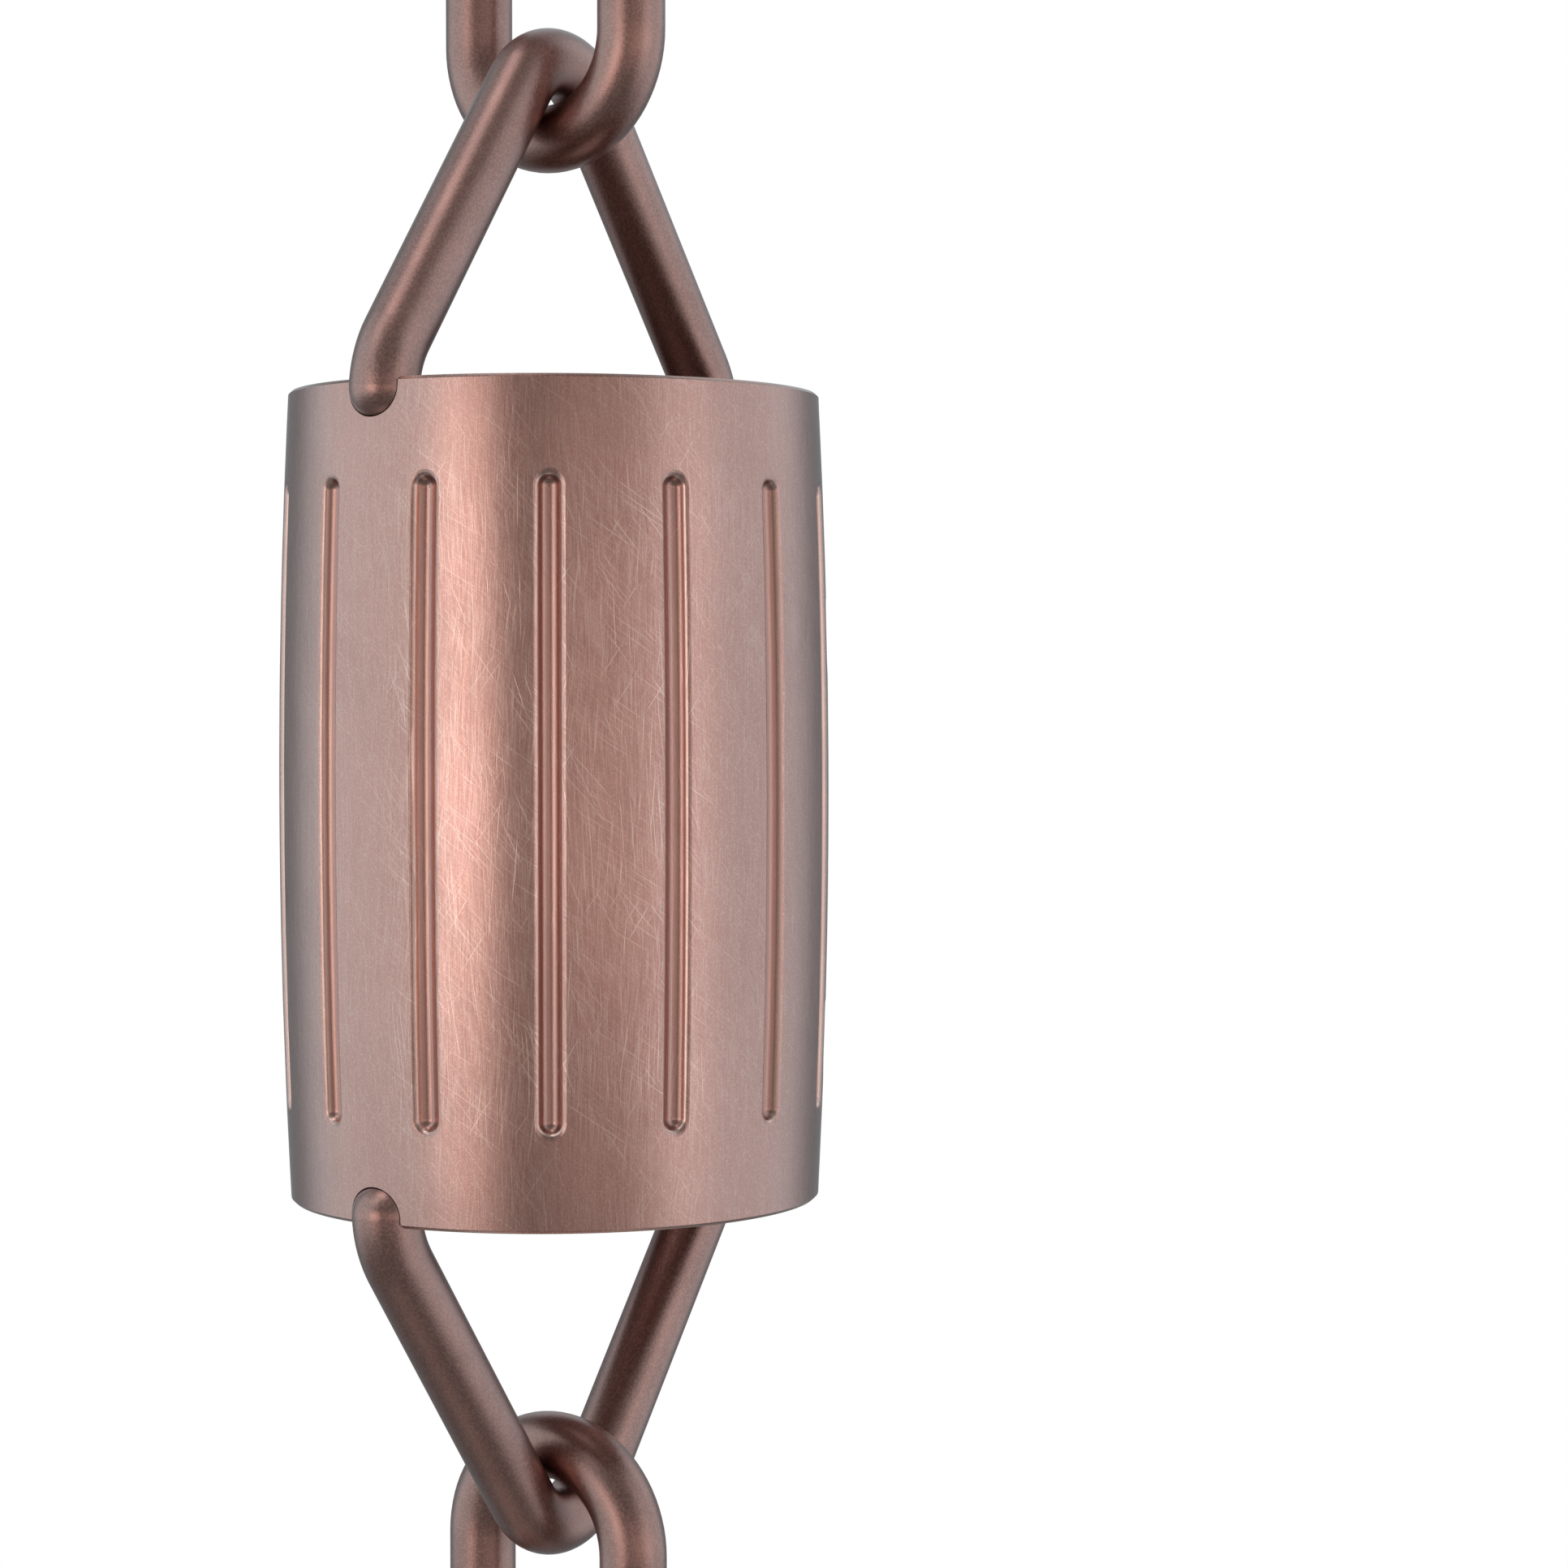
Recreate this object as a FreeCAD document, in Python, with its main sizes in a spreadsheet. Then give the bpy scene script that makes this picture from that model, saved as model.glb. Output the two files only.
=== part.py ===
import FreeCAD, Part
import os
from math import atan2, cos, radians, sin

import Sketcher
from FreeCAD import Placement, Rotation, Vector

# Driving sizes in millimetres and degrees
SIZES = {
    "cup_count": 4,
    "cup_height": 76,
    "cup_mid_diameter": 52,
    "cup_rim_diameter": 50,
    "cup_wall": 2,
    "rim_bevel": 0.3,
    "flute_count": 14,
    "flute_first_angle": 13.7,
    "flute_depth": 1,
    "flute_bottom_radius": 1.04,
    "flute_edge_radius": 0.6,
    "flute_edge_slope": 16,
    "flute_end_margin": 8.4,
    "wire_diameter": 6.35,
    "foot_inset": 1.56,
    "foot_reach": 3.8,
    "foot_round": 2.9,
    "corner_depth": 1.45,
    "corner_radius": 9.8,
    "bail_lean": 34.5,
    "bail_bend_radius": 5.75,
    "braze_gap": 0.1,
    "link_length": 70,
    "link_width": 25.2,
    "interlock_gap": 0.2,
}

doc = FreeCAD.newDocument("rain_chain")
sheet = doc.addObject("Spreadsheet::Sheet", "Sizes")
for row, (alias, value) in enumerate(SIZES.items(), start=1):
    sheet.set(f"A{row}", alias)
    sheet.set(f"B{row}", str(value))
    sheet.setAlias(f"B{row}", alias)
doc.recompute()

# Wire of the bails and links
WIRE = "Sizes.wire_diameter"
WIRE_RADIUS = f"({WIRE} / 2)"

# Barrel of the cup: one arc over the whole height, with a negative radius where the middle is a waist
HALF_HEIGHT = "(Sizes.cup_height / 2)"
MID_RADIUS = "(Sizes.cup_mid_diameter / 2)"
RIM_RADIUS = "(Sizes.cup_rim_diameter / 2)"
BULGE = f"({MID_RADIUS} - {RIM_RADIUS})"
BARREL_RADIUS = f"(({HALF_HEIGHT} ^ 2 + {BULGE} ^ 2) / (2 * {BULGE}))"
BARREL_CENTRE = f"({MID_RADIUS} - {BARREL_RADIUS})"
INSIDE_RADIUS = f"({BARREL_RADIUS} - Sizes.cup_wall)"
INSIDE_RIM = f"({BARREL_CENTRE} + {INSIDE_RADIUS} * cos(asin({HALF_HEIGHT} / {INSIDE_RADIUS})))"

# Flute: a round-bottomed channel along the barrel, with a half bowl at each end and a round at its edge.
# The edge's round is tangent to the outside of the cup beside the channel, and runs out of it on a slope
FLUTE_RADIUS = "Sizes.flute_bottom_radius"
EDGE_RADIUS = "Sizes.flute_edge_radius"
FLUTE_CENTRE = f"({MID_RADIUS} - Sizes.flute_depth + {FLUTE_RADIUS})"
ROUNDS_APART = f"({FLUTE_RADIUS} + {EDGE_RADIUS})"
EDGE_CENTRE = f"({MID_RADIUS} - {EDGE_RADIUS})"
BOTTOM_BEND = (
    f"acos(({FLUTE_CENTRE} ^ 2 + {ROUNDS_APART} ^ 2 - {EDGE_CENTRE} ^ 2)"
    f" / (2 * {FLUTE_CENTRE} * {ROUNDS_APART}))"
)
EDGE_BEND = f"({BOTTOM_BEND} - Sizes.flute_edge_slope * 1 deg)"
FLUTE_TOP = f"(Sizes.flute_depth - {FLUTE_RADIUS} + {EDGE_RADIUS})"
FLUTE_HALF_WIDTH = f"({ROUNDS_APART} * sin({BOTTOM_BEND}))"
FLUTE_PATH = f"({FLUTE_CENTRE} - {BARREL_CENTRE})"
FLUTE_TIP = f"({HALF_HEIGHT} - Sizes.flute_end_margin - {FLUTE_HALF_WIDTH})"
FLUTE_TURN = f"asin({FLUTE_TIP} / {BARREL_RADIUS})"
TIP_PLACE = f"({BARREL_CENTRE} + {FLUTE_PATH} * cos({FLUTE_TURN}))"
TIP_HEIGHT = f"({FLUTE_PATH} * sin({FLUTE_TURN}))"

# Bail: upright foot astride the rim, corner, leaning leg, bend at the top; heights above the rim
LEAN = "(Sizes.bail_lean * 1 deg)"
FOOT_RADIUS = f"({RIM_RADIUS} - Sizes.foot_inset)"
NOTCH_RADIUS = f"({WIRE_RADIUS} + Sizes.braze_gap)"
NOTCH_DEPTH = "(Sizes.foot_reach + Sizes.braze_gap)"
NOTCH_ROUND = "(Sizes.foot_round + Sizes.braze_gap)"
LEG_RUN = (
    f"(({FOOT_RADIUS} - Sizes.corner_radius * (1 - cos({LEAN}))"
    f" - Sizes.bail_bend_radius * cos({LEAN})) / sin({LEAN}))"
)
BEND_CENTRE = (
    f"(Sizes.corner_radius * sin({LEAN}) - Sizes.corner_depth"
    f" + {LEG_RUN} * cos({LEAN}) - Sizes.bail_bend_radius * sin({LEAN}))"
)

# Link: two straight legs between half-circle bends
LINK_BEND = f"((Sizes.link_width - {WIRE}) / 2)"
LINK_SPAN = f"(Sizes.link_length - {WIRE})"
LEG_HALF = f"({LINK_SPAN} / 2 - {LINK_BEND})"

# A link's wire hangs in the bail's bend, or on its two legs where the bend is too narrow for the wire
WIRE_ROOM = f"({WIRE} + Sizes.interlock_gap - Sizes.bail_bend_radius)"
WIRE_DROP = f"({WIRE_ROOM} > 0 ? {WIRE_ROOM} / sin({LEAN}) : {WIRE_ROOM})"
HANG = f"({BEND_CENTRE} - {WIRE_DROP})"
PITCH = f"({LINK_SPAN} + Sizes.cup_height + 2 * {HANG})"

ORIGIN, UPRIGHT_AXIS = range(-1, -3, -1)  # a sketch's own origin and level axis, and its upright axis
START, END, CENTRE = range(1, 4)  # a point of a line or an arc
FULL_TURN = 360
HALF_TURN = 180
QUARTER_TURN = 90
FEET_PER_BAIL = "2"
SAME_HEIGHT = 1e-4  # heights closer than this are one height


def number(expression):
    """The value that an expression has with the sheet's sizes."""
    result = sheet.evalExpression(expression)
    return float(getattr(result, "Value", result))


def point(x, y):
    return Vector(number(x), number(y), 0)


def origin_feature(body, role):
    return next(f for f in body.Origin.OriginFeatures if f.Role == role)


def add_body(label):
    body = doc.addObject("PartDesign::Body", label)
    body.Label = label
    return body


def add_sketch(body, name, role):
    sketch = body.newObject("Sketcher::SketchObject", name)
    sketch.AttachmentSupport = [(origin_feature(body, role), "")]
    sketch.MapMode = "FlatFace"
    return sketch


def constrain(sketch, *terms):
    sketch.addConstraint(Sketcher.Constraint(*terms))


def size(sketch, name, expression, *terms):
    """A named dimension of a sketch, bound to the sheet."""
    index = sketch.addConstraint(Sketcher.Constraint(*terms, number(expression)))
    sketch.renameConstraint(index, name)
    sketch.setExpression(f"Constraints.{name}", expression)


def line(sketch, start, end, construction=False):
    return sketch.addGeometry(Part.LineSegment(start, end), construction)


def arc(sketch, centre, radius, first, last):
    """An arc that runs anticlockwise from the first to the last angle, in radians."""
    circle = Part.Circle(centre, Vector(0, 0, 1), radius)
    return sketch.addGeometry(Part.ArcOfCircle(circle, first, last))


def arc_between(sketch, centre, start, end):
    """An arc that runs anticlockwise from one point to another."""
    first, last = (atan2(p.y - centre.y, p.x - centre.x) for p in (start, end))
    return arc(sketch, centre, (start - centre).Length, first, last)


def wire_section(body, x, y):
    """A round wire's section, in the sketch plane of the body's origin."""
    sketch = add_sketch(body, "wire_section", "XY_Plane")
    circle = sketch.addGeometry(Part.Circle(point(x, y), Vector(0, 0, 1), number(WIRE_RADIUS)))
    size(sketch, "across", x, "DistanceX", ORIGIN, START, circle, CENTRE)
    size(sketch, "along", y, "DistanceY", ORIGIN, START, circle, CENTRE)
    size(sketch, "wire", WIRE, "Diameter", circle)
    return sketch


def mirrored_pipe(body, section, path, mirror_role):
    """A wire bent along half a path, and its mirror image."""
    pipe = body.newObject("PartDesign::AdditivePipe", "half_wire")
    pipe.Profile = section
    pipe.Spine = path
    mirrored = body.newObject("PartDesign::Mirrored", "whole_wire")
    mirrored.Originals = [pipe]
    mirrored.MirrorPlane = (origin_feature(body, mirror_role), [""])
    body.Tip = mirrored
    doc.recompute()
    return mirrored


def edges_at_height(feature, heights):
    """Names of the feature's edges that lie level at one of the heights."""
    names = []
    for index, edge in enumerate(feature.Shape.Edges, start=1):
        box = edge.BoundBox
        level = box.ZLength < SAME_HEIGHT
        if level and any(abs(box.ZMin - z) < SAME_HEIGHT for z in heights):
            names.append(f"Edge{index}")
    return names


def dress_edges(body, feature, heights, kind, name, measure, expression):
    """Chamfers or fillets the level edges at the heights."""
    dressed = body.newObject(kind, name)
    dressed.Base = (feature, edges_at_height(feature, heights))
    dressed.setExpression(measure, expression)
    body.Tip = dressed
    doc.recompute()
    return dressed


def polar_pattern(body, name, features, count):
    pattern = body.newObject("PartDesign::PolarPattern", name)
    pattern.Originals = features
    pattern.Axis = (origin_feature(body, "Z_Axis"), [""])
    pattern.Angle = FULL_TURN
    pattern.setExpression("Occurrences", count)
    body.Tip = pattern
    doc.recompute()
    return pattern


def groove(body, name, sketch, angle):
    """Cuts what a sketch sweeps about its construction line, half of the angle to each side."""
    cut = body.newObject("PartDesign::Groove", name)
    cut.Profile = sketch
    cut.ReferenceAxis = (sketch, ["Axis0"])
    cut.Midplane = True
    cut.setExpression("Angle", angle)
    doc.recompute()
    return cut


def barrel_wall(body):
    """The cup's open tube, turned from one section of its wall."""
    sketch = add_sketch(body, "wall_section", "XZ_Plane")
    bulging = number(BULGE) > 0
    lower, upper = (START, END) if bulging else (END, START)
    arcs = []
    for rim, middle in ((RIM_RADIUS, MID_RADIUS), (INSIDE_RIM, f"{MID_RADIUS} - Sizes.cup_wall")):
        ends = [point(rim, f"-{HALF_HEIGHT}"), point(rim, HALF_HEIGHT)]
        first, last = ends if bulging else reversed(ends)
        arcs.append(sketch.addGeometry(Part.Arc(first, point(middle, "0"), last)))
    outer, inner = arcs
    for at in (lower, upper):
        rim = line(sketch, sketch.getPoint(outer, at), sketch.getPoint(inner, at))
        constrain(sketch, "Coincident", rim, START, outer, at)
        constrain(sketch, "Coincident", rim, END, inner, at)
        constrain(sketch, "Horizontal", rim)
    constrain(sketch, "Coincident", inner, CENTRE, outer, CENTRE)
    constrain(sketch, "PointOnObject", outer, CENTRE, ORIGIN)
    size(sketch, "barrel", f"abs({BARREL_RADIUS})", "Radius", outer)
    size(sketch, "barrel_inside", f"abs({INSIDE_RADIUS})", "Radius", inner)
    size(sketch, "rim", RIM_RADIUS, "DistanceX", ORIGIN, START, outer, upper)
    size(sketch, "height", "Sizes.cup_height", "DistanceY", outer, lower, outer, upper)
    wall = body.newObject("PartDesign::Revolution", "wall")
    wall.Profile = sketch
    wall.ReferenceAxis = (sketch, ["V_Axis"])
    wall.Angle = FULL_TURN
    doc.recompute()
    return wall


def turn_to_first_flute(sketch, upright):
    """Turns a sketch about the cup's axis, to the first flute."""
    sketch.AttachmentOffset = Placement(Vector(), Rotation(upright, number("Sizes.flute_first_angle")))
    sketch.setExpression("AttachmentOffset.Rotation.Angle", "Sizes.flute_first_angle * 1 deg")


def barrel_centre_place(sketch, name, geometry):
    """Sets a line's start at the centre of the barrel's arc, on either side of the cup's axis."""
    ends = (geometry, START, ORIGIN, START)
    if number(BARREL_CENTRE) > 0:
        ends = (ORIGIN, START, geometry, START)
    constrain(sketch, "PointOnObject", geometry, START, ORIGIN)
    size(sketch, name, f"abs({BARREL_CENTRE})", "DistanceX", *ends)


def half_flute(sketch, axis, outward, side):
    """Half of a flute's section, from the axis at its middle out to one side."""
    anticlockwise = outward.cross(side).z > 0
    centre = sketch.getPoint(axis, END)
    bottom_bend = number(f"{BOTTOM_BEND} / 1 rad")
    slope = number("Sizes.flute_edge_slope * 1 deg / 1 rad")

    def at(start, distance, angle):
        """The point at a distance from another, turned from outward to the side."""
        return start + (outward * cos(angle) + side * sin(angle)) * distance

    bottom = at(centre, -number(FLUTE_RADIUS), 0)
    edge_start = at(centre, -number(FLUTE_RADIUS), -bottom_bend)
    edge_centre = at(centre, -number(ROUNDS_APART), -bottom_bend)
    edge_end = at(edge_centre, number(EDGE_RADIUS), -slope)
    slope_end = at(edge_end, number(EDGE_RADIUS), radians(QUARTER_TURN) - slope)
    middle_top = at(centre, number(FLUTE_TOP), 0)
    side_top = slope_end + outward * (middle_top - slope_end).dot(outward)
    bottom_ends = (edge_start, bottom) if anticlockwise else (bottom, edge_start)
    edge_ends = (edge_start, edge_end) if anticlockwise else (edge_end, edge_start)
    first, last = (START, END) if anticlockwise else (END, START)
    bottom_arc = arc_between(sketch, centre, *bottom_ends)
    edge_arc = arc_between(sketch, edge_centre, *edge_ends)
    runout = line(sketch, edge_end, slope_end)
    wall = line(sketch, slope_end, side_top)
    top = line(sketch, side_top, middle_top)
    middle = line(sketch, middle_top, bottom)
    constrain(sketch, "Coincident", bottom_arc, CENTRE, axis, END)
    constrain(sketch, "PointOnObject", bottom_arc, last, axis)
    constrain(sketch, "Tangent", bottom_arc, first, edge_arc, first)
    constrain(sketch, "Tangent", edge_arc, last, runout, START)
    constrain(sketch, "Coincident", runout, END, wall, START)
    constrain(sketch, "Coincident", wall, END, top, START)
    constrain(sketch, "Coincident", top, END, middle, START)
    constrain(sketch, "Coincident", middle, END, bottom_arc, last)
    constrain(sketch, "Parallel", wall, axis)
    constrain(sketch, "Perpendicular", top, axis)
    constrain(sketch, "PointOnObject", top, END, axis)
    size(sketch, "bottom_radius", FLUTE_RADIUS, "Radius", bottom_arc)
    size(sketch, "edge_radius", EDGE_RADIUS, "Radius", edge_arc)
    size(sketch, "bottom_bend", BOTTOM_BEND, "Angle", bottom_arc)
    size(sketch, "edge_bend", EDGE_BEND, "Angle", edge_arc)
    size(sketch, "runout", EDGE_RADIUS, "Distance", runout)
    size(sketch, "top", FLUTE_TOP, "Distance", axis, END, top, END)


def half_channel(body, name, side):
    """One half of a channel, cut along the barrel's own arc."""
    sketch = add_sketch(body, f"{name}_section", "XY_Plane")
    turn_to_first_flute(sketch, Vector(0, 0, 1))
    axis_ends = point(BARREL_CENTRE, "0"), point(BARREL_CENTRE, FLUTE_CENTRE)
    axis = line(sketch, *axis_ends, construction=True)
    constrain(sketch, "Vertical", axis)
    barrel_centre_place(sketch, "axis_place", axis)
    size(sketch, "axis_length", FLUTE_CENTRE, "DistanceY", axis, START, axis, END)
    middle = line(sketch, point("0", "0"), point(FLUTE_CENTRE, "0"), construction=True)
    constrain(sketch, "Coincident", middle, START, ORIGIN, START)
    constrain(sketch, "Horizontal", middle)
    size(sketch, "flute_place", FLUTE_CENTRE, "DistanceX", ORIGIN, START, middle, END)
    half_flute(sketch, middle, Vector(1, 0, 0), Vector(0, side, 0))
    return groove(body, name, sketch, f"2 * abs({FLUTE_TURN})")


def flute_tip(body, name, sign):
    """The half bowl that ends a channel, above the cup's middle or below it."""
    sketch = add_sketch(body, f"{name}_section", "XZ_Plane")
    turn_to_first_flute(sketch, Vector(0, 1, 0))
    axis_ends = point(BARREL_CENTRE, "0"), point(TIP_PLACE, f"{sign} * {TIP_HEIGHT}")
    axis = line(sketch, *axis_ends, construction=True)
    barrel_centre_place(sketch, "axis_place", axis)
    size(sketch, "tip_place", TIP_PLACE, "DistanceX", ORIGIN, START, axis, END)
    rise = (ORIGIN, START, axis, END) if sign > 0 else (axis, END, ORIGIN, START)
    size(sketch, "tip_height", TIP_HEIGHT, "DistanceY", *rise)
    turn = number(f"{sign} * {FLUTE_TURN} / 1 rad")
    outward = Vector(cos(turn), sin(turn), 0)
    side = Vector(-sin(turn), cos(turn), 0) * sign
    half_flute(sketch, axis, outward, side)
    return groove(body, name, sketch, f"{HALF_TURN} deg")


def flutes(body):
    """Channels with round ends and soft edges, round the outside."""
    first = [half_channel(body, "left_channel", 1), half_channel(body, "right_channel", -1)]
    first += [flute_tip(body, "upper_tip", 1), flute_tip(body, "lower_tip", -1)]
    return polar_pattern(body, "flutes", first, "Sizes.flute_count")


def notches(body):
    """Seats for the bails' feet, sunk into both rims at opposite sides."""
    sketch = add_sketch(body, "notch_section", "XZ_Plane")
    axis_ends = point(FOOT_RADIUS, f"-{HALF_HEIGHT}"), point(FOOT_RADIUS, HALF_HEIGHT)
    axis = line(sketch, *axis_ends, construction=True)
    size(sketch, "foot", FOOT_RADIUS, "DistanceX", ORIGIN, START, axis, START)
    size(sketch, "axis_length", "Sizes.cup_height", "DistanceY", axis, START, axis, END)
    constrain(sketch, "Symmetric", axis, START, axis, END, ORIGIN)
    turns = {"right": 0, "top": radians(QUARTER_TURN), "bottom": -radians(QUARTER_TURN)}
    wall_side = f"({FOOT_RADIUS} + {NOTCH_RADIUS})"
    round_side = f"({wall_side} - {NOTCH_ROUND})"
    for name, sign, rim in (("upper", 1, END), ("lower", -1, START)):
        upright = sign > 0
        lid_height = f"({sign} * ({HALF_HEIGHT} + {WIRE}))"
        round_height = f"({sign} * ({HALF_HEIGHT} - {NOTCH_DEPTH} + {NOTCH_ROUND}))"
        bed_height = f"({sign} * ({HALF_HEIGHT} - {NOTCH_DEPTH}))"
        lid = line(sketch, point(FOOT_RADIUS, lid_height), point(wall_side, lid_height))
        wall = line(sketch, point(wall_side, lid_height), point(wall_side, round_height))
        first, last = ("bottom", "right") if upright else ("right", "top")
        round_centre = point(round_side, round_height)
        turn = arc(sketch, round_centre, number(NOTCH_ROUND), turns[first], turns[last])
        bed = line(sketch, point(round_side, bed_height), point(FOOT_RADIUS, bed_height))
        middle = line(sketch, point(FOOT_RADIUS, bed_height), point(FOOT_RADIUS, lid_height))
        constrain(sketch, "Coincident", lid, END, wall, START)
        constrain(sketch, "Tangent", wall, END, turn, END if upright else START)
        constrain(sketch, "Tangent", bed, START, turn, START if upright else END)
        constrain(sketch, "Coincident", bed, END, middle, START)
        constrain(sketch, "Coincident", middle, END, lid, START)
        constrain(sketch, "Horizontal", lid)
        constrain(sketch, "Vertical", wall)
        constrain(sketch, "Horizontal", bed)
        constrain(sketch, "PointOnObject", middle, START, axis)
        constrain(sketch, "PointOnObject", middle, END, axis)
        size(sketch, f"{name}_width", NOTCH_RADIUS, "DistanceX", lid, START, lid, END)
        size(sketch, f"{name}_round", NOTCH_ROUND, "Radius", turn)
        above = (axis, rim, lid, START) if upright else (lid, START, axis, rim)
        size(sketch, f"{name}_above", WIRE, "DistanceY", *above)
        below = (bed, END, axis, rim) if upright else (axis, rim, bed, END)
        size(sketch, f"{name}_depth", NOTCH_DEPTH, "DistanceY", *below)
    notch = groove(body, "notch", sketch, f"{FULL_TURN} deg")
    return polar_pattern(body, "notches", [notch], FEET_PER_BAIL)


def build_cup(label):
    """Barrel-shaped open tube with fluted sides; its middle is the body's origin."""
    body = add_body(label)
    wall = barrel_wall(body)
    rims = [number(HALF_HEIGHT), -number(HALF_HEIGHT)]
    bevelled = dress_edges(
        body, wall, rims, "PartDesign::Chamfer", "rim_bevels", "Size", "Sizes.rim_bevel"
    )
    fluted = flutes(body)
    notched = notches(body)
    if not bevelled.Shape.Volume > fluted.Shape.Volume > notched.Shape.Volume:
        raise RuntimeError(f"{label}: a flute or a notch cuts nothing")
    flute_faces = len(fluted.Shape.Faces) - len(bevelled.Shape.Faces)
    if flute_faces % int(number("Sizes.flute_count")):
        raise RuntimeError(f"{label}: the flutes are not all alike")
    return body


def build_bail(label):
    """Bent wire with both feet at the rim, which is the body's origin plane, and its bend above."""
    body = add_body(label)
    section = wire_section(body, FOOT_RADIUS, "0")
    section.AttachmentOffset = Placement(Vector(0, 0, -number("Sizes.foot_reach")), Rotation())
    section.setExpression("AttachmentOffset.Base.z", "-Sizes.foot_reach")
    path = add_sketch(body, "half_path", "XZ_Plane")
    lean = number(f"{LEAN} / 1 rad")
    foot = line(path, point(FOOT_RADIUS, "-Sizes.foot_reach"), point(FOOT_RADIUS, "-Sizes.corner_depth"))
    corner_centre = point(f"{FOOT_RADIUS} - Sizes.corner_radius", "-Sizes.corner_depth")
    corner = arc(path, corner_centre, number("Sizes.corner_radius"), 0, lean)
    bend_centre = point("0", BEND_CENTRE)
    bend = arc(path, bend_centre, number("Sizes.bail_bend_radius"), lean, radians(QUARTER_TURN))
    leg = line(path, path.getPoint(corner, END), path.getPoint(bend, START))
    constrain(path, "Vertical", foot)
    constrain(path, "Tangent", foot, END, corner, START)
    constrain(path, "Tangent", corner, END, leg, START)
    constrain(path, "Tangent", leg, END, bend, START)
    constrain(path, "PointOnObject", bend, CENTRE, UPRIGHT_AXIS)
    constrain(path, "PointOnObject", bend, END, UPRIGHT_AXIS)
    size(path, "foot_place", FOOT_RADIUS, "DistanceX", ORIGIN, START, foot, START)
    size(path, "foot_reach", "Sizes.foot_reach", "DistanceY", foot, START, ORIGIN, START)
    size(path, "corner_depth", "Sizes.corner_depth", "DistanceY", foot, END, ORIGIN, START)
    size(path, "corner", "Sizes.corner_radius", "Radius", corner)
    size(path, "bend", "Sizes.bail_bend_radius", "Radius", bend)
    size(path, "lean", f"{QUARTER_TURN} deg + {LEAN}", "Angle", leg)
    doc.recompute()
    whole = mirrored_pipe(body, section, path, "YZ_Plane")
    feet = [-number("Sizes.foot_reach")]
    dress_edges(body, whole, feet, "PartDesign::Fillet", "foot_rounds", "Radius", "Sizes.foot_round")
    return body


def build_link(label):
    """Oval wire link in the YZ plane; its middle is the body's origin."""
    body = add_body(label)
    section = wire_section(body, "0", LINK_BEND)
    path = add_sketch(body, "half_path", "YZ_Plane")
    bend = arc(path, point("0", LEG_HALF), number(LINK_BEND), 0, radians(HALF_TURN))
    near = line(path, point(LINK_BEND, "0"), path.getPoint(bend, START))
    far = line(path, path.getPoint(bend, END), point(f"-{LINK_BEND}", "0"))
    constrain(path, "Tangent", near, END, bend, START)
    constrain(path, "Tangent", bend, END, far, START)
    constrain(path, "Vertical", near)
    constrain(path, "PointOnObject", near, START, ORIGIN)
    constrain(path, "PointOnObject", far, END, ORIGIN)
    constrain(path, "PointOnObject", bend, CENTRE, UPRIGHT_AXIS)
    constrain(path, "Vertical", far)
    size(path, "bend", LINK_BEND, "Radius", bend)
    size(path, "leg", LEG_HALF, "DistanceY", near, START, near, END)
    doc.recompute()
    mirrored_pipe(body, section, path, "XY_Plane")
    return body


def place(body, height, turned=False):
    """Hangs a piece on the chain's own line, upside down if turned."""
    half_turn = HALF_TURN if turned else 0
    body.Placement = Placement(Vector(), Rotation(Vector(1, 0, 0), half_turn))
    body.setExpression("Placement.Base.z", height)
    return body


# The chain hangs from the inside of its first link's upper bend, which is the origin
cups = int(number("Sizes.cup_count"))
pieces = []
for index in range(cups + 1):
    link_middle = f"{WIRE_RADIUS} - {LINK_SPAN} / 2 - {index} * {PITCH}"
    pieces.append(place(build_link(f"link_{index + 1}"), link_middle))
for index in range(cups):
    upper_rim = f"{WIRE_RADIUS} - {LINK_SPAN} - {HANG} - {index} * {PITCH}"
    lower_rim = f"{upper_rim} - Sizes.cup_height"
    pieces.append(place(build_bail(f"upper_bail_{index + 1}"), upper_rim))
    pieces.append(place(build_cup(f"cup_{index + 1}"), f"{upper_rim} - {HALF_HEIGHT}"))
    pieces.append(place(build_bail(f"lower_bail_{index + 1}"), lower_rim, turned=True))
doc.recompute()

for item in doc.Objects:
    if "Invalid" in item.State or "Error" in item.State:
        raise RuntimeError(f"{item.Label} failed: {item.State}")
for piece in pieces:
    if piece.Shape.isNull() or not piece.Shape.isValid() or len(piece.Shape.Solids) != 1:
        raise RuntimeError(f"{piece.Label} is not one valid solid")

os.makedirs("parts", exist_ok=True)
for piece in pieces:
    piece.Shape.exportStep(f"parts/{piece.Label}.step")
    print(piece.Label, round(piece.Shape.Volume, 1))
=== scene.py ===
from math import atan2, cos, radians, sin

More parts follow.
